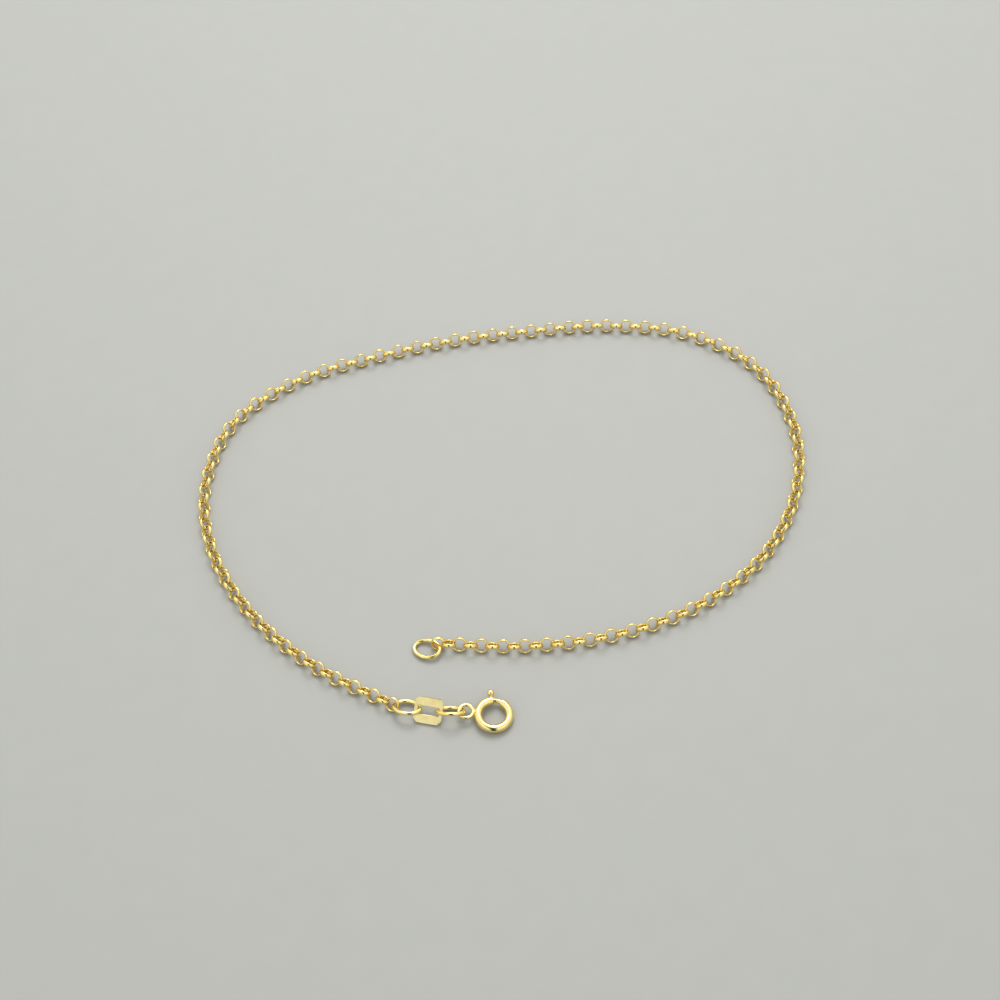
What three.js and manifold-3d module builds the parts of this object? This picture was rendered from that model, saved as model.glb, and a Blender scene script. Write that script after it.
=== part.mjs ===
// Chain anklet lying open on a table: a rolo chain, an end ring, a slotted
// plate between two oval links, and a spring ring clasp whose bolt slides.
// Millimetres, +Z up, table at z = 0, +X along the longest side of the loop.

import * as THREE from 'three';
import { mergeVertices } from 'three/addons/utils/BufferGeometryUtils.js';
import Module from 'manifold-3d';

const wasm = await Module();
wasm.setup();

// Rolo chain
const LINK_COUNT = 159;
const FIRST_HALF = 79;
const PITCH = 1.475;
const LINK_OUTER = 1.03;
const BAND_MID = 0.89;
const BAND_WIDTH = 0.6;
const LINK_SIDES = 10;
const LINK_ROLL = 45;
const WELD = 0.05;
const SEAM_GAP = 0.1;
const FIRST_LINK = { roll: 70, pitch: 8, lift: 0.128 };

// Line of the chain on the table, from the end ring round to the plate
const ROUTE = [
  [-10.4, -21], [1.7, -22.4], [13.9, -21.6], [25.5, -17.9], [35.3, -10.6],
  [41.5, -0.1], [43.1, 11.9], [39.3, 23.5], [30.0, 31.2], [18.1, 34.1],
  [5.9, 34.2], [-6.3, 33.4], [-18.3, 31.2], [-30.0, 27.6], [-39.5, 20.1],
  [-43.2, 8.5], [-41.5, -3.6], [-35.7, -14.3], [-27.2, -23.1], [-16.6, -30.02],
];

// Oval links: the end ring and one on each side of the plate
const OVAL_LENGTH = 4.25;
const OVAL_WIDTH = 3.25;
const OVAL_WIRE = 0.56;
const OVAL_STATIONS = 12;
const OVAL_WIRE_SIDES = 6;
const OVAL_PLACES = {
  end_ring: { at: [-11.94, -21.46, 0.495], heading: -22, pitch: -6.4, roll: 2.3 },
  oval_link_chain: { at: [-14.86, -30.61, 0.99], heading: -18, pitch: -4.3, roll: -23 },
  oval_link_clasp: { at: [-9.16, -31.74, 1.14], heading: -5.4, pitch: 0.2, roll: -42.4 },
};

// Slotted plate link
const PLATE_LENGTH = 3.85;
const PLATE_WIDTH = 3.5;
const PLATE_THICKNESS = 0.35;
const PLATE_CORNER = 0.6;
const PLATE_END_BAR = 0.45;
const PLATE_SLOT_WIDTH = 1.15;
const PLATE_PLACE = { at: [-12.06, -31.35, 1.13], heading: -12.5, pitch: 0, roll: 34 };

// Spring ring clasp
const CLASP_OUTER = 5.28;
const TUBE_DIAMETER = 1.13;
const TUBE_BORE = 0.86;
const TUBE_SIDES = 8;
const TUBE_STEPS = 16;
const MOUTH_FROM = 70;
const MOUTH_TO = 99;
const SLOT_TO = 147;
const SLOT_WIDTH = 0.5;
const EYE_OUTER = 2.4;
const EYE_WIRE = 0.48;
const EYE_WELD = 0.14;
const BOLT_DIAMETER = 0.64;
const BOLT_FROM = 66;
const BOLT_TO = 125;
const BOLT_STEPS = 8;
const TRIGGER_ANGLE = 104;
const TRIGGER_BALL = 1.02;
const TRIGGER_REACH = 3.2;
const TRIGGER_NECK = 0.36;
const CLASP_PLACE = { at: [-3.49, -32.54, 0.75], heading: -9.9, pitch: 5, roll: 2 };

const gold = new THREE.MeshStandardMaterial({ color: 0xd9b64a, roughness: 0.22, metalness: 1 });
const goldSatin = new THREE.MeshStandardMaterial({ color: 0xe0c66b, roughness: 0.4, metalness: 1 });
const goldBolt = new THREE.MeshStandardMaterial({ color: 0xd2ac40, roughness: 0.25, metalness: 1 });

const { cos, sin, PI } = Math;
const radians = THREE.MathUtils.degToRad;
const LINK_HEIGHT = (BAND_MID + BAND_WIDTH / 2) * sin(radians(LINK_ROLL));
const CLASP_RADIUS = (CLASP_OUTER - TUBE_DIAMETER) / 2;

// A regular polygon standing for a round wire's section
function wireSection(diameter, sides, turn = 0) {
  const points = [];
  for (let i = 0; i < sides; i += 1) {
    const angle = turn + (2 * PI * i) / sides;
    points.push(new THREE.Vector2((diameter / 2) * cos(angle), (diameter / 2) * sin(angle)));
  }
  return points;
}

// A ring in the XY plane. Its stations lie half a step off the X axis, so that
// each tip has a flat facet, and the two halves can be drawn apart along X.
function ring(radius, section, stations, stretch = 0) {
  const profile = section.map((p) => new THREE.Vector2(radius + p.x, p.y));
  profile.push(profile[0].clone());
  const geometry = new THREE.LatheGeometry(profile, stations, PI / 2 + PI / stations);
  geometry.rotateX(PI / 2);
  const position = geometry.attributes.position;
  for (let i = 0; i < position.count; i += 1) {
    position.setX(i, position.getX(i) + Math.sign(position.getX(i)) * stretch);
  }
  return geometry;
}

// Part of a circle in the XY plane, as a path for an extrusion
class ArcPath extends THREE.Curve {
  constructor(radius, from, to) {
    super();
    this.radius = radius;
    this.from = radians(from);
    this.to = radians(to);
  }

  getPoint(t, target = new THREE.Vector3()) {
    const angle = this.from + (this.to - this.from) * t;
    return target.set(this.radius * cos(angle), this.radius * sin(angle), 0);
  }
}

function arcBar(section, radius, from, to, steps, hole) {
  const shape = new THREE.Shape(section);
  if (hole) shape.holes.push(new THREE.Path(hole));
  const extrudePath = new ArcPath(radius, from, to);
  return new THREE.ExtrudeGeometry(shape, { steps, extrudePath, bevelEnabled: false });
}

function toSolid(geometry) {
  const bare = geometry.index ? geometry.toNonIndexed() : geometry.clone();
  bare.deleteAttribute('normal');
  bare.deleteAttribute('uv');
  const merged = mergeVertices(bare, 1e-4);
  const kept = [];
  const index = merged.index.array;
  for (let i = 0; i < index.length; i += 3) {
    const [a, b, c] = [index[i], index[i + 1], index[i + 2]];
    if (a !== b && b !== c && c !== a) kept.push(a, b, c);
  }
  const mesh = new wasm.Mesh({
    numProp: 3,
    vertProperties: Float32Array.from(merged.attributes.position.array),
    triVerts: Uint32Array.from(kept),
  });
  return new wasm.Manifold(mesh);
}

function toGeometry(solid) {
  const mesh = solid.getMesh();
  const geometry = new THREE.BufferGeometry();
  geometry.setAttribute('position', new THREE.BufferAttribute(Float32Array.from(mesh.vertProperties), 3));
  geometry.setIndex(new THREE.BufferAttribute(Uint32Array.from(mesh.triVerts), 1));
  geometry.computeVertexNormals();
  return geometry;
}

function join(solids) {
  return solids.reduce((whole, piece) => whole.add(piece));
}

// Heading turns a piece about Z, pitch dips its X end, roll turns it about X
function setPlace(object, place) {
  object.position.set(...place.at);
  object.rotation.set(radians(place.roll), radians(place.pitch), radians(place.heading), 'ZYX');
}

function placed(geometry, place) {
  const holder = new THREE.Object3D();
  setPlace(holder, place);
  holder.updateMatrix();
  return geometry.clone().applyMatrix4(holder.matrix);
}

function named(name, geometry, material) {
  const mesh = new THREE.Mesh(geometry, material);
  mesh.name = name;
  return mesh;
}

// One rolo link: a round band, thickest at its waist
function linkGeometry() {
  const inner = (PITCH - WELD) / 2 / cos(PI / LINK_SIDES);
  const section = [
    new THREE.Vector2(inner, 0),
    new THREE.Vector2(BAND_MID, -BAND_WIDTH / 2),
    new THREE.Vector2(LINK_OUTER, 0),
    new THREE.Vector2(BAND_MID, BAND_WIDTH / 2),
  ];
  return ring(0, section, LINK_SIDES);
}

// Each link follows the route, rolled to the side opposite to its neighbour's
function linkPlaces() {
  const points = ROUTE.map(([x, y]) => new THREE.Vector3(x, y, LINK_HEIGHT));
  const route = new THREE.CatmullRomCurve3(points);
  route.arcLengthDivisions = 4000;
  const length = route.getLength();
  const places = [];
  for (let i = 0; i < LINK_COUNT; i += 1) {
    const seam = i < FIRST_HALF ? 0 : WELD + SEAM_GAP;
    const u = (i * PITCH - seam) / length;
    const at = route.getPointAt(u);
    const along = route.getTangentAt(u);
    const heading = THREE.MathUtils.radToDeg(Math.atan2(along.y, along.x));
    const roll = i % 2 === 0 ? LINK_ROLL : -LINK_ROLL;
    places.push({ at: [at.x, at.y, at.z], heading, pitch: 0, roll });
  }
  const first = places[0];
  first.roll = FIRST_LINK.roll;
  first.pitch = FIRST_LINK.pitch;
  first.at[2] += FIRST_LINK.lift;
  return places;
}

function chainHalf(name, places) {
  const link = linkGeometry();
  const solids = places.map((place) => toSolid(placed(link, place)));
  return named(name, toGeometry(join(solids)), gold);
}

function ovalLink(name, place) {
  const section = wireSection(OVAL_WIRE, OVAL_WIRE_SIDES, PI / OVAL_WIRE_SIDES);
  const radius = (OVAL_WIDTH - OVAL_WIRE) / 2;
  const stretch = (OVAL_LENGTH - OVAL_WIDTH) / 2;
  const solid = toSolid(ring(radius, section, OVAL_STATIONS, stretch));
  const mesh = named(name, toGeometry(solid), gold);
  setPlace(mesh, place);
  return mesh;
}

function rectangle(length, width) {
  const [x, y] = [length / 2, width / 2];
  return [[-x, -y], [x, -y], [x, y], [-x, y]].map(([px, py]) => new THREE.Vector2(px, py));
}

function plateLink() {
  const [x, y, c] = [PLATE_LENGTH / 2, PLATE_WIDTH / 2, PLATE_CORNER];
  const corners = [
    [-x + c, -y], [x - c, -y], [x, -y + c], [x, y - c],
    [x - c, y], [-x + c, y], [-x, y - c], [-x, -y + c],
  ];
  const shape = new THREE.Shape(corners.map(([px, py]) => new THREE.Vector2(px, py)));
  shape.holes.push(new THREE.Path(rectangle(PLATE_LENGTH - 2 * PLATE_END_BAR, PLATE_SLOT_WIDTH)));
  const geometry = new THREE.ExtrudeGeometry(shape, { depth: PLATE_THICKNESS, bevelEnabled: false });
  geometry.translate(0, 0, -PLATE_THICKNESS / 2);
  const mesh = named('plate_link', toGeometry(toSolid(geometry)), goldSatin);
  setPlace(mesh, PLATE_PLACE);
  return mesh;
}

// Hollow tube with an open mouth, a slot for the trigger and a soldered eye
function claspRing() {
  const turn = PI / TUBE_SIDES;
  const wall = wireSection(TUBE_DIAMETER, TUBE_SIDES, turn);
  const bore = wireSection(TUBE_BORE, TUBE_SIDES, turn);
  const tube = toSolid(arcBar(wall, CLASP_RADIUS, MOUTH_TO, MOUTH_FROM + 360, TUBE_STEPS, bore));
  const slotBar = rectangle(SLOT_WIDTH, TUBE_DIAMETER);
  const slotRadius = CLASP_RADIUS + TUBE_DIAMETER / 2;
  const slot = toSolid(arcBar(slotBar, slotRadius, MOUTH_TO - 2, SLOT_TO, 6));
  const eyeRadius = (EYE_OUTER - EYE_WIRE) / 2;
  const eye = ring(eyeRadius, wireSection(EYE_WIRE, 6, PI / 6), 10);
  eye.translate(-(CLASP_OUTER + EYE_OUTER) / 2 + EYE_WELD, 0, 0);
  const mesh = named('clasp_ring', toGeometry(tube.subtract(slot).add(toSolid(eye))), gold);
  setPlace(mesh, CLASP_PLACE);
  return mesh;
}

// Sliding bolt with the neck and ball of its trigger
function claspBolt() {
  const bolt = arcBar(wireSection(BOLT_DIAMETER, 6), CLASP_RADIUS, BOLT_FROM, BOLT_TO, BOLT_STEPS);
  const angle = radians(TRIGGER_ANGLE);
  const neck = new THREE.CylinderGeometry(TRIGGER_NECK / 2, TRIGGER_NECK / 2, TRIGGER_REACH - CLASP_RADIUS, 6);
  neck.translate(0, (TRIGGER_REACH + CLASP_RADIUS) / 2, 0);
  neck.rotateZ(angle - PI / 2);
  const ball = new THREE.SphereGeometry(TRIGGER_BALL / 2, 10, 6);
  ball.translate(TRIGGER_REACH * cos(angle), TRIGGER_REACH * sin(angle), 0);
  const solid = join([bolt, neck, ball].map(toSolid));
  const mesh = named('clasp_bolt', toGeometry(solid), goldBolt);
  setPlace(mesh, CLASP_PLACE);
  return mesh;
}

const places = linkPlaces();
const group = new THREE.Group();
group.add(chainHalf('chain_right', places.slice(0, FIRST_HALF)));
group.add(chainHalf('chain_left', places.slice(FIRST_HALF)));
for (const [name, place] of Object.entries(OVAL_PLACES)) group.add(ovalLink(name, place));
group.add(plateLink());
group.add(claspRing());
group.add(claspBolt());

const extent = new THREE.Box3().setFromObject(group, true);
const middle = extent.getCenter(new THREE.Vector3());
group.position.set(-middle.x, -middle.y, -extent.min.z);

export default group;
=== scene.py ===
"""A fine gold chain anklet lying open on a table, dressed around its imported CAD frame."""

import math

import bmesh
import bpy
from mathutils import Matrix, Vector


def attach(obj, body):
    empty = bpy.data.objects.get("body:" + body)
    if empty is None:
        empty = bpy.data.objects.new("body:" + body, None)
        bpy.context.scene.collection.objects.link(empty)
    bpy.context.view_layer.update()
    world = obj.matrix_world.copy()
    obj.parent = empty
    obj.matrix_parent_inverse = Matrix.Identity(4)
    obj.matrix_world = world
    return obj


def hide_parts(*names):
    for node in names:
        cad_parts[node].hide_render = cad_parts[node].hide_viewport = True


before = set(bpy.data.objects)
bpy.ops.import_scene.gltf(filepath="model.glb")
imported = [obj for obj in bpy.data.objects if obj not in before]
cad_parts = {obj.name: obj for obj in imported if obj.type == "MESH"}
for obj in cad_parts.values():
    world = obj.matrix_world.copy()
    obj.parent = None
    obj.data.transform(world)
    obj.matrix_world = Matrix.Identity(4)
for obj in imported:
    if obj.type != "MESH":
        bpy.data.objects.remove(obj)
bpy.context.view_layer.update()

MM = 0.001

# Sizes are in millimetres and angles in degrees, unless a line says otherwise

MERGE_DISTANCE = 0.001
SAME_SPOT = 0.01

# The line of the chain on the table, from the end ring round to the plate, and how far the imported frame
# stands from the origin that these places are given in
ROUTE = [
    (-10.4, -21), (1.7, -22.4), (13.9, -21.6), (25.5, -17.9), (35.3, -10.6),
    (41.5, -0.1), (43.1, 11.9), (39.3, 23.5), (30.0, 31.2), (18.1, 34.1),
    (5.9, 34.2), (-6.3, 33.4), (-18.3, 31.2), (-30.0, 27.6), (-39.5, 20.1),
    (-43.2, 8.5), (-41.5, -3.6), (-35.7, -14.3), (-27.2, -23.1), (-16.6, -30.02),
]
FRAME_SHIFT = Vector((0.0415, -0.0459, 0.0005))

# Rolo links. The band's section gives each corner's radius and height, and how much deeper colour and
# duller
# polish it gets: the deeper colour on the flat inside is painted shade for the hollow there, the duller
# polish is the finish. The second half of the chain lies a little nearer the first, as its solid does
LINK_COUNT = 159
FIRST_HALF = 79
PITCH = 1.475
LINK_SECTION = [
    (0.762, -0.25, 0.4), (0.762, 0.25, 0.4), (0.9, 0.34, 0.1), (1.105, 0, 0), (0.9, -0.34, 0.1),
]
LINK_CREASE = 0.22
LINK_LIE_HEIGHT = 0.8415
LINK_ROLL = 45
SECOND_HALF_PULL = 0.15
FIRST_LINK_PLACES = [
    ((-10.364, -21.024, 0.986), -6.2, 0.4, 66.2),
    ((-8.947, -21.172, 0.861), -10.4, -0.8, -38.4),
]
LINK_STATIONS = 12

# Oval links of round wire: the end ring, and one on each side of the plate
OVAL_LENGTH = 4.25
OVAL_WIDTH = 3.25
OVAL_WIRE = 0.57
WIRE_SIDES = 12
RING_STEPS = 24
OVAL_PLACES = {
    "end_ring": ((-11.94, -21.46, 0.495), -22, -6.4, 2.3),
    "oval_link_chain": ((-14.86, -30.61, 0.99), -18, -4.3, -23),
    "oval_link_clasp": ((-9.16, -31.74, 1.155), -5.4, 0.2, -41.5),
}

# Slotted plate link
PLATE_LENGTH = 3.85
PLATE_WIDTH = 3.5
PLATE_THICKNESS = 0.35
PLATE_CORNER = 0.6
PLATE_END_BAR = 0.45
PLATE_SLOT_WIDTH = 1.15
PLATE_EDGE_ROUNDING = 0.07
SHARP_EDGE = 30
PLATE_PLACE = ((-12.06, -31.43, 1.13), -15.5, 0, 34)

# Spring ring clasp. Angles run round its ring, anticlockwise from +X
CLASP_PLACE = ((-3.49, -32.54, 0.75), -9.9, 5, 2)
CLASP_RADIUS = 2.075
TUBE_DIAMETER = 1.12
TUBE_WALL = 0.135
TUBE_SIDES = 24
TUBE_STEPS = 48
MOUTH_FROM = 70
MOUTH_TO = 99
SLOT_TO = 147
SLOT_HALF_WIDTH = 0.2464
EYE_REACH = -3.7
EYE_OUTER = 2.4
EYE_WIRE = 0.48
BOLT_DIAMETER = 0.64
BOLT_FROM = 66
BOLT_TO = 125
BOLT_SIDES = 16
BOLT_STEPS = 14
BOLT_END_ROUNDING = 0.1
TRIGGER_ANGLE = 104
TRIGGER_BALL = 1.05
TRIGGER_REACH = 3.2
TRIGGER_NECK = 0.36
TRIGGER_NECK_RISE = 0.5
TRIGGER_SIDES = 20
BALL_STEPS = 8

# The light tent, by direction from the anklet, as parts of a length of 1: where the dark slit's sides and
# its far end fade into white cloth, and how bright the cloth and the slit are
SLIT_SIDE = (0.14, 0.26)
SLIT_END = (-0.25, 0.05)
SLIT_GLOW = 0.03
BACK_CLOTH_GLOW = 0.8
LOW_CLOTH_GLOW = 0.4
TOP_CLOTH_GLOW = 1.1

# The table, whose half width is in metres
TABLE_HALF_WIDTH = 1.5
TABLE_GRAIN = 4

# The photograph's camera: where it stands, how far it leans from straight down, and its roll
CAMERA_AT = (-0.5585, -150.246, 207.05)
CAMERA_LEAN = 36.5024
CAMERA_ROLL = -4.225
CAMERA_LENS = 64.46


def place_matrix(at, heading, pitch, roll):
    """Where a piece lies: heading turns it about Z, pitch dips its X end, roll turns it about X."""
    turn = (
        Matrix.Rotation(math.radians(heading), 4, "Z")
        @ Matrix.Rotation(math.radians(pitch), 4, "Y")
        @ Matrix.Rotation(math.radians(roll), 4, "X")
    )
    return Matrix.Translation(Vector(at) + FRAME_SHIFT) @ turn


# Gold finishes


def linear(hex_colour):
    """An sRGB hex colour as the linear RGBA that a shader socket takes."""
    channels = [int(hex_colour[i:i + 2], 16) / 255 for i in (1, 3, 5)]
    return [c / 12.92 if c <= 0.04045 else ((c + 0.055) / 1.055) ** 2.4 for c in channels] + [1]


def add(tree, kind, inputs, **settings):
    """Adds a node. inputs gives its sockets a value, or a link from another node's output."""
    node = tree.nodes.new(kind)
    for name, value in settings.items():
        setattr(node, name, value)
    for name, value in inputs.items():
        if isinstance(value, bpy.types.NodeSocket):
            tree.links.new(value, node.inputs[name])
        else:
            node.inputs[name].default_value = value
    return node


def gold_finish(name, bright, deep, smooth, rough, cloud_mm, line_mm, line_turn, relief_mm):
    """Yellow gold. Clouds of slightly deeper colour and less polish lie over it, with tool lines line_mm
    apart. Where the vertex attribute is set, on the flat inside of the links, the colour is painted deeper
    as shade for the hollow, and the polish there is duller. Real tool lines are about 0.02 mm apart, too
    fine to show in the render, so they are drawn several times as coarse."""
    material = bpy.data.materials.new(name)
    material.use_nodes = True
    tree = material.node_tree
    shader = tree.nodes["Principled BSDF"]
    shader.inputs["Metallic"].default_value = 1

    spot = add(tree, "ShaderNodeTexCoord", {})
    clouds = add(tree, "ShaderNodeTexNoise", {
        "Vector": spot.outputs["Object"], "Scale": 1 / (cloud_mm * MM), "Detail": 3.0, "Roughness": 0.55,
    })
    drawn = add(tree, "ShaderNodeMapping", {
        "Vector": spot.outputs["Object"],
        "Rotation": (0, 0, math.radians(line_turn)), "Scale": (0.08, 1, 1),
    })
    lines = add(tree, "ShaderNodeTexNoise", {
        "Vector": drawn.outputs["Vector"], "Scale": 1 / (line_mm * MM), "Detail": 4.0, "Roughness": 0.6,
    })
    # This attribute paints shade: where it is set the colour turns deeper, and the polish turns duller
    painted_shade_and_dull_polish = add(tree, "ShaderNodeAttribute", {}, attribute_name="painted_shade_and_dull_polish")

    cloud_share = add(tree, "ShaderNodeMapRange", {
        "Value": clouds.outputs["Fac"], "From Min": 0.35, "From Max": 0.7, "To Min": 0.0, "To Max": 0.45,
    })
    depth = add(tree, "ShaderNodeMath", {
        0: cloud_share.outputs["Result"], 1: painted_shade_and_dull_polish.outputs["Fac"],
    }, operation="ADD", use_clamp=True)
    colour = add(tree, "ShaderNodeMix", {
        "Factor": depth.outputs["Value"], 6: linear(bright), 7: linear(deep),
    }, data_type="RGBA")
    tree.links.new(colour.outputs[2], shader.inputs["Base Color"])

    line_share = add(tree, "ShaderNodeMath", {
        0: lines.outputs["Fac"], 1: 0.35, 2: depth.outputs["Value"],
    }, operation="MULTIPLY_ADD")
    roughness = add(tree, "ShaderNodeMapRange", {
        "Value": line_share.outputs["Value"],
        "From Min": 0.0, "From Max": 1.2, "To Min": smooth, "To Max": rough,
    })
    tree.links.new(roughness.outputs["Result"], shader.inputs["Roughness"])

    relief = add(tree, "ShaderNodeBump", {
        "Strength": 0.5, "Distance": relief_mm * MM, "Height": lines.outputs["Fac"],
    })
    tree.links.new(relief.outputs["Normal"], shader.inputs["Normal"])
    return material


# 14 carat yellow gold wire, rolled half round and tumbled bright: crisp highlights on the domed
# outside of each link, and on the flat inside a deeper yellow that is painted shade, with a duller polish
TUMBLED_GOLD = gold_finish(
    "rolled_and_tumbled_yellow_gold", "#FFECA0", "#DCAE40", 0.12, 0.28,
    cloud_mm=0.8, line_mm=0.12, line_turn=0, relief_mm=0.0006,
)

# 14 carat yellow gold, buffed with rouge: a mirror with soft swirls on the clasp's tube and bolt
BUFFED_GOLD = gold_finish(
    "buffed_yellow_gold", "#FFEDA4", "#E2B850", 0.1, 0.24,
    cloud_mm=1.2, line_mm=0.15, line_turn=35, relief_mm=0.0006,
)

# 14 carat yellow gold sheet, stamped and left with a satin grain along its length: a broad pale gleam.
# The grain is turned back by the plate's own heading
SATIN_GOLD = gold_finish(
    "stamped_satin_yellow_gold", "#FDF0B4", "#EACF80", 0.3, 0.45,
    cloud_mm=1.0, line_mm=0.09, line_turn=-PLATE_PLACE[1], relief_mm=0.003,
)


# Making and finishing a piece


def finish_piece(name, bm, material, body, node, subdivide=0):
    """Turns the mesh from millimetres to metres and hangs it on its CAD body in place of its node."""
    bmesh.ops.remove_doubles(bm, verts=bm.verts, dist=MERGE_DISTANCE)
    bmesh.ops.recalc_face_normals(bm, faces=bm.faces)
    bmesh.ops.scale(bm, vec=(MM, MM, MM), verts=bm.verts)
    mesh = bpy.data.meshes.new(name)
    bm.to_mesh(mesh)
    bm.free()
    mesh.materials.append(material)
    piece = bpy.data.objects.new(name, mesh)
    bpy.context.scene.collection.objects.link(piece)
    if subdivide:
        rounding = piece.modifiers.new("rounding", "SUBSURF")
        rounding.levels = subdivide
        rounding.render_levels = subdivide
    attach(piece, body)
    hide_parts(node)


def smooth(faces):
    for face in faces:
        face.smooth = True


def new_verts(made):
    return [element for element in made if isinstance(element, bmesh.types.BMVert)]


def wire_circle(bm, diameter, sides, angle, radius):
    """A round wire's section in an empty mesh, across a ring of that radius at that angle."""
    made = bmesh.ops.create_circle(bm, cap_ends=False, segments=sides, radius=diameter / 2)["verts"]
    stand = Matrix.Rotation(math.radians(90), 4, "X")
    place = Matrix.Rotation(math.radians(angle), 4, "Z") @ Matrix.Translation((radius, 0, 0)) @ stand
    bmesh.ops.transform(bm, matrix=place, verts=made)
    return made + list(bm.edges)


def sweep(bm, profile, angle, steps):
    """Spins the profile about Z. A full turn closes on itself."""
    bmesh.ops.spin(
        bm, geom=profile, cent=(0, 0, 0), axis=(0, 0, 1), angle=math.radians(angle), steps=steps,
        use_merge=angle >= 360,
    )


# The chain


def rolo_link(bm, painted_shade_and_dull_polish):
    """One link: a band with a flat inside and a domed outside. Subdivision pulls it in to size."""
    crease = bm.edges.layers.float.new("crease_edge")
    pull = 2 / 3 + math.cos(2 * math.pi / LINK_STATIONS) / 3
    corners = [bm.verts.new((radius / pull, 0, height)) for radius, height, shade_and_dullness in LINK_SECTION]
    # The inside corners get a deeper colour that is painted shade for the hollow inside the link, and a
    # duller polish
    for corner, (radius, height, shade_and_dullness) in zip(corners, LINK_SECTION):
        corner[painted_shade_and_dull_polish] = shade_and_dullness
    edges = [bm.edges.new((corners[i - 1], corners[i])) for i in range(len(corners))]
    sweep(bm, corners + edges, 360, LINK_STATIONS)
    bmesh.ops.remove_doubles(bm, verts=bm.verts, dist=MERGE_DISTANCE)
    for edge in bm.edges:
        start, end = (vert.co for vert in edge.verts)
        level = abs(start.z - end.z) < SAME_SPOT
        round_the_ring = abs(start.xy.length - end.xy.length) < SAME_SPOT
        if level and round_the_ring and abs(start.z) > SAME_SPOT:
            edge[crease] = LINK_CREASE
    smooth(bm.faces)


def route_line(steps_between=200):
    """The route as a fine line, a centripetal Catmull-Rom curve through its points, and its arc lengths."""
    points = [Vector((x, y, LINK_LIE_HEIGHT)) for x, y in ROUTE]
    points = [2 * points[0] - points[1]] + points + [2 * points[-1] - points[-2]]
    line = []
    for before, start, end, after in zip(points, points[1:], points[2:], points[3:]):
        come, go, leave = [
            math.sqrt((b - a).length) for a, b in ((before, start), (start, end), (end, after))
        ]
        leaving = (start - before) / come - (end - before) / (come + go) + (end - start) / go
        arriving = (end - start) / go - (after - start) / (go + leave) + (after - end) / leave
        leaving, arriving = leaving * go, arriving * go
        for step in range(steps_between):
            t = step / steps_between
            line.append(
                start + leaving * t
                + (3 * (end - start) - 2 * leaving - arriving) * t * t
                + (2 * (start - end) + leaving + arriving) * t ** 3
            )
    line.append(points[-2])
    arcs = [0.0]
    for a, b in zip(line, line[1:]):
        arcs.append(arcs[-1] + (b - a).length)
    return line, arcs


def link_matrices():
    """Each link's place along the route, rolled to the side opposite to its neighbour's."""
    line, arcs = route_line()
    matrices = []
    segment = 0
    for link in range(LINK_COUNT):
        arc = link * PITCH - (SECOND_HALF_PULL if link >= FIRST_HALF else 0)
        while arcs[segment + 1] < arc:
            segment += 1
        along = line[segment + 1] - line[segment]
        at = line[segment] + along * ((arc - arcs[segment]) / (arcs[segment + 1] - arcs[segment]))
        heading = math.degrees(math.atan2(along.y, along.x))
        roll = LINK_ROLL if link % 2 == 0 else -LINK_ROLL
        matrices.append(place_matrix(at, heading, 0, roll))
    # The end ring holds the first two links more upright than the rest
    matrices[:len(FIRST_LINK_PLACES)] = [place_matrix(*place) for place in FIRST_LINK_PLACES]
    return matrices


def chain_half(name, matrices, node):
    """The links of one half, each a copy of the one link. Each one lies free of its neighbours."""
    bm = bmesh.new()
    painted_shade_and_dull_polish = bm.verts.layers.float.new("painted_shade_and_dull_polish")
    rolo_link(bm, painted_shade_and_dull_polish)
    pattern = list(bm.verts) + list(bm.edges) + list(bm.faces)
    for matrix in matrices:
        made = bmesh.ops.duplicate(bm, geom=pattern)["geom"]
        bmesh.ops.transform(bm, matrix=matrix, verts=new_verts(made))
    bmesh.ops.delete(bm, geom=new_verts(pattern), context="VERTS")
    finish_piece(name, bm, TUMBLED_GOLD, "anklet", node, subdivide=2)


# Oval links and the end ring


def oval_link(name, node, place):
    """A ring of round wire, drawn out along X into an oval."""
    bm = bmesh.new()
    bm.verts.layers.float.new("painted_shade_and_dull_polish")
    radius = (OVAL_WIDTH - OVAL_WIRE) / 2
    sweep(bm, wire_circle(bm, OVAL_WIRE, WIRE_SIDES, 180 / RING_STEPS, radius), 360, RING_STEPS)
    for vert in bm.verts:
        vert.co.x += vert.co.x / vert.co.xy.length * (OVAL_LENGTH - OVAL_WIDTH) / 2
    smooth(bm.faces)
    bmesh.ops.transform(bm, matrix=place_matrix(*place), verts=bm.verts)
    finish_piece(name, bm, TUMBLED_GOLD, "anklet", node, subdivide=1)


# Slotted plate


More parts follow.
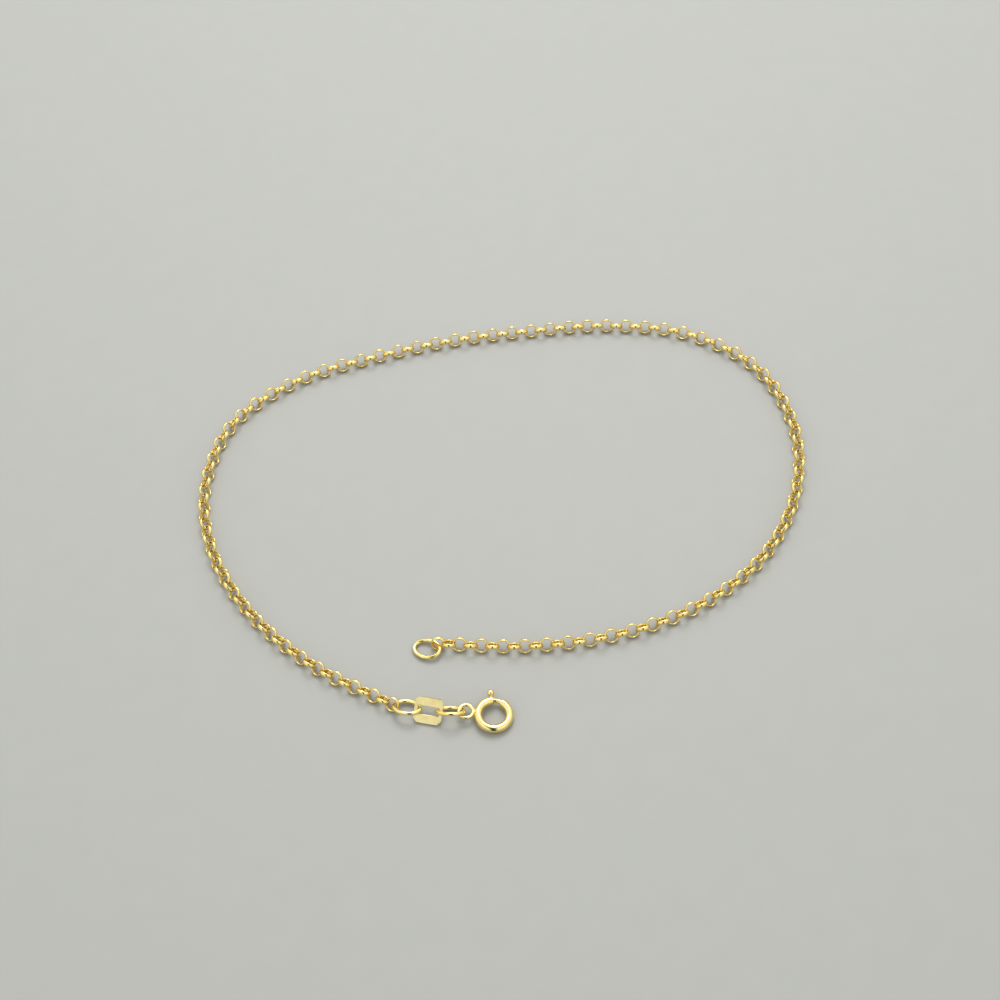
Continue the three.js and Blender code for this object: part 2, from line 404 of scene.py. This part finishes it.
def slotted_plate():
    """A stamped plate with a slot, cut corners and softly rounded edges."""
    bm = bmesh.new()
    bm.verts.layers.float.new("painted_shade_and_dull_polish")
    middle = 1.5
    bmesh.ops.create_grid(bm, x_segments=3, y_segments=3, size=middle)
    slot_end = PLATE_LENGTH / 2 - PLATE_END_BAR
    columns = (-PLATE_LENGTH / 2, -slot_end, slot_end, PLATE_LENGTH / 2)
    rows = (-PLATE_WIDTH / 2, -PLATE_SLOT_WIDTH / 2, PLATE_SLOT_WIDTH / 2, PLATE_WIDTH / 2)
    for vert in bm.verts:
        column, row = round(vert.co.x + middle), round(vert.co.y + middle)
        vert.co = (columns[column], rows[row], -PLATE_THICKNESS / 2)
    slot = [face for face in bm.faces if face.calc_center_median().length < PLATE_THICKNESS]
    bmesh.ops.delete(bm, geom=slot, context="FACES")
    corners = [vert for vert in bm.verts if len(vert.link_edges) == 2]
    bmesh.ops.bevel(
        bm, geom=corners, offset=PLATE_CORNER, offset_type="OFFSET", affect="VERTICES", segments=1,
        profile=0.5, material=-1,
    )
    top = bmesh.ops.extrude_face_region(bm, geom=list(bm.faces))["geom"]
    bmesh.ops.translate(bm, vec=(0, 0, PLATE_THICKNESS), verts=new_verts(top))
    bmesh.ops.recalc_face_normals(bm, faces=bm.faces)
    rims = [edge for edge in bm.edges if edge.calc_face_angle(0) > math.radians(SHARP_EDGE)]
    rounded = bmesh.ops.bevel(
        bm, geom=rims, offset=PLATE_EDGE_ROUNDING, offset_type="OFFSET", affect="EDGES", segments=3,
        profile=0.5, material=-1,
    )["faces"]
    smooth(rounded)
    bmesh.ops.transform(bm, matrix=place_matrix(*PLATE_PLACE), verts=bm.verts)
    finish_piece("slotted_plate", bm, SATIN_GOLD, "anklet", "plate_link")


# Spring ring clasp


def clasp_tube():
    """The hollow ring with its open mouth and trigger slot, and the eye soldered to its far side."""
    bm = bmesh.new()
    bm.verts.layers.float.new("painted_shade_and_dull_polish")
    section = wire_circle(bm, TUBE_DIAMETER, TUBE_SIDES, MOUTH_TO, CLASP_RADIUS)
    sweep(bm, section, MOUTH_FROM + 360 - MOUTH_TO, TUBE_STEPS)
    slot = []
    for face in bm.faces:
        middle = face.calc_center_median()
        angle = math.degrees(math.atan2(middle.y, middle.x)) % 360
        outside = middle.xy.length > CLASP_RADIUS + TUBE_DIAMETER / 4
        if outside and MOUTH_TO < angle < SLOT_TO and abs(middle.z) < SLOT_HALF_WIDTH:
            slot.append(face)
    bmesh.ops.delete(bm, geom=slot, context="FACES")
    bmesh.ops.recalc_face_normals(bm, faces=bm.faces)
    bmesh.ops.solidify(bm, geom=list(bm.faces), thickness=TUBE_WALL)

    eye = bmesh.new()
    radius = (EYE_OUTER - EYE_WIRE) / 2
    sweep(eye, wire_circle(eye, EYE_WIRE, WIRE_SIDES, 0, radius), 360, RING_STEPS)
    bmesh.ops.translate(eye, vec=(EYE_REACH, 0, 0), verts=eye.verts)
    eye_mesh = bpy.data.meshes.new("eye")
    eye.to_mesh(eye_mesh)
    eye.free()
    bm.from_mesh(eye_mesh)
    bpy.data.meshes.remove(eye_mesh)

    smooth(bm.faces)
    bmesh.ops.transform(bm, matrix=place_matrix(*CLASP_PLACE), verts=bm.verts)
    finish_piece("clasp_tube_and_eye", bm, BUFFED_GOLD, "anklet", "clasp_ring", subdivide=1)


def clasp_slide():
    """The bolt that closes the mouth, with the neck and ball that a fingernail pulls back."""
    bm = bmesh.new()
    bm.verts.layers.float.new("painted_shade_and_dull_polish")
    section = wire_circle(bm, BOLT_DIAMETER, BOLT_SIDES, BOLT_FROM, CLASP_RADIUS)
    sweep(bm, section, BOLT_TO - BOLT_FROM, BOLT_STEPS)
    ends = [edge for edge in bm.edges if edge.is_boundary]
    bmesh.ops.holes_fill(bm, edges=ends, sides=0)
    bmesh.ops.bevel(
        bm, geom=ends, offset=BOLT_END_ROUNDING, offset_type="OFFSET", affect="EDGES", segments=3,
        profile=0.5, material=-1,
    )

    ball = TRIGGER_BALL / 2
    neck = TRIGGER_NECK / 2
    profile = [(0, CLASP_RADIUS), (neck, CLASP_RADIUS), (neck, CLASP_RADIUS + TRIGGER_NECK_RISE)]
    ball_arc = math.pi - math.asin(neck / ball)
    for step in range(BALL_STEPS + 1):
        angle = ball_arc * (1 - step / BALL_STEPS)
        profile.append((ball * math.sin(angle), TRIGGER_REACH + ball * math.cos(angle)))
    place = Matrix.Rotation(math.radians(TRIGGER_ANGLE - 90), 4, "Z")
    points = [bm.verts.new(place @ Vector((x, y, 0))) for x, y in profile]
    edges = [bm.edges.new(pair) for pair in zip(points, points[1:])]
    bmesh.ops.spin(
        bm, geom=points + edges, cent=(0, 0, 0), axis=place @ Vector((0, 1, 0)),
        angle=math.radians(360), steps=TRIGGER_SIDES, use_merge=True,
    )
    smooth(bm.faces)
    bmesh.ops.transform(bm, matrix=place_matrix(*CLASP_PLACE), verts=bm.verts)
    finish_piece("clasp_bolt_and_ball", bm, BUFFED_GOLD, "bolt", "clasp_bolt", subdivide=1)


# Table, light and camera


def table():
    """A plain pale table top, matt, with a very faint grain."""
    bm = bmesh.new()
    bmesh.ops.create_grid(bm, x_segments=1, y_segments=1, size=TABLE_HALF_WIDTH)
    mesh = bpy.data.meshes.new("table")
    bm.to_mesh(mesh)
    bm.free()
    top = bpy.data.objects.new("table", mesh)
    bpy.context.scene.collection.objects.link(top)
    board = bpy.data.materials.new("matt_pale_board")
    board.use_nodes = True
    tree = board.node_tree
    spot = add(tree, "ShaderNodeTexCoord", {})
    grain = add(tree, "ShaderNodeTexNoise", {
        "Vector": spot.outputs["Object"], "Scale": 1 / (TABLE_GRAIN * MM), "Detail": 3.0,
    })
    tone = add(tree, "ShaderNodeMix", {
        "Factor": grain.outputs["Fac"], 6: linear("#A8A9A5"), 7: linear("#ACADA9"),
    }, data_type="RGBA")
    shader = tree.nodes["Principled BSDF"]
    shader.inputs["Roughness"].default_value = 0.6
    tree.links.new(tone.outputs[2], shader.inputs["Base Color"])
    mesh.materials.append(board)


def soft_light(name, at, width, depth, watts):
    """A white softbox that faces the anklet."""
    lamp = bpy.data.lights.new(name, "AREA")
    lamp.shape = "RECTANGLE"
    lamp.size = width
    lamp.size_y = depth
    lamp.energy = watts
    box = bpy.data.objects.new(name, lamp)
    box.location = at
    box.rotation_euler = (-Vector(at)).to_track_quat("-Z", "Y").to_euler()
    bpy.context.scene.collection.objects.link(box)


def light_tent():
    """A white tent round the table, brightest overhead, with the dark slit that a lens looks in by."""
    world = bpy.data.worlds.new("light_tent")
    world.use_nodes = True
    tree = world.node_tree
    direction = add(tree, "ShaderNodeTexCoord", {})
    parts = add(tree, "ShaderNodeSeparateXYZ", {"Vector": direction.outputs["Generated"]})
    height = add(tree, "ShaderNodeMapRange", {
        "Value": parts.outputs["Z"],
        "From Min": 0.0, "From Max": 0.5, "To Min": LOW_CLOTH_GLOW, "To Max": TOP_CLOTH_GLOW,
    }, interpolation_type="SMOOTHSTEP")
    sideways = add(tree, "ShaderNodeMath", {0: parts.outputs["X"]}, operation="ABSOLUTE")
    beside = add(tree, "ShaderNodeMapRange", {
        "Value": sideways.outputs["Value"],
        "From Min": SLIT_SIDE[0], "From Max": SLIT_SIDE[1], "To Min": SLIT_GLOW, "To Max": 1.0,
    })
    behind = add(tree, "ShaderNodeMapRange", {
        "Value": parts.outputs["Y"],
        "From Min": SLIT_END[0], "From Max": SLIT_END[1], "To Min": SLIT_GLOW, "To Max": BACK_CLOTH_GLOW,
    })
    cloth = add(tree, "ShaderNodeMath", {
        0: beside.outputs["Result"], 1: behind.outputs["Result"],
    }, operation="MAXIMUM")
    strength = add(tree, "ShaderNodeMath", {
        0: height.outputs["Result"], 1: cloth.outputs["Value"],
    }, operation="MULTIPLY")
    tree.links.new(strength.outputs["Value"], tree.nodes["Background"].inputs["Strength"])
    tree.nodes["Background"].inputs["Color"].default_value = linear("#FFFFFC")
    bpy.context.scene.world = world


def studio():
    light_tent()
    soft_light("back_softbox", at=(0.03, 0.36, 0.48), width=0.3, depth=0.3, watts=1.8)
    bpy.context.scene.view_settings.view_transform = "Standard"


def photo_camera():
    lens = bpy.data.cameras.new("photo_camera")
    lens.lens = CAMERA_LENS
    lens.sensor_width = 36
    lens.clip_start = 0.01
    camera = bpy.data.objects.new("photo_camera", lens)
    camera.matrix_world = (
        Matrix.Translation(Vector(CAMERA_AT) * MM)
        @ Matrix.Rotation(math.radians(CAMERA_LEAN), 4, "X")
        @ Matrix.Rotation(math.radians(CAMERA_ROLL), 4, "Z")
    )
    bpy.context.scene.collection.objects.link(camera)
    bpy.context.scene.camera = camera


photo_camera()
matrices = link_matrices()
chain_half("rolo_chain_right", matrices[:FIRST_HALF], "chain_right")
chain_half("rolo_chain_left", matrices[FIRST_HALF:], "chain_left")
for node, place in OVAL_PLACES.items():
    oval_link("round_wire_" + node, node, place)
slotted_plate()
clasp_tube()
clasp_slide()
table()
studio()
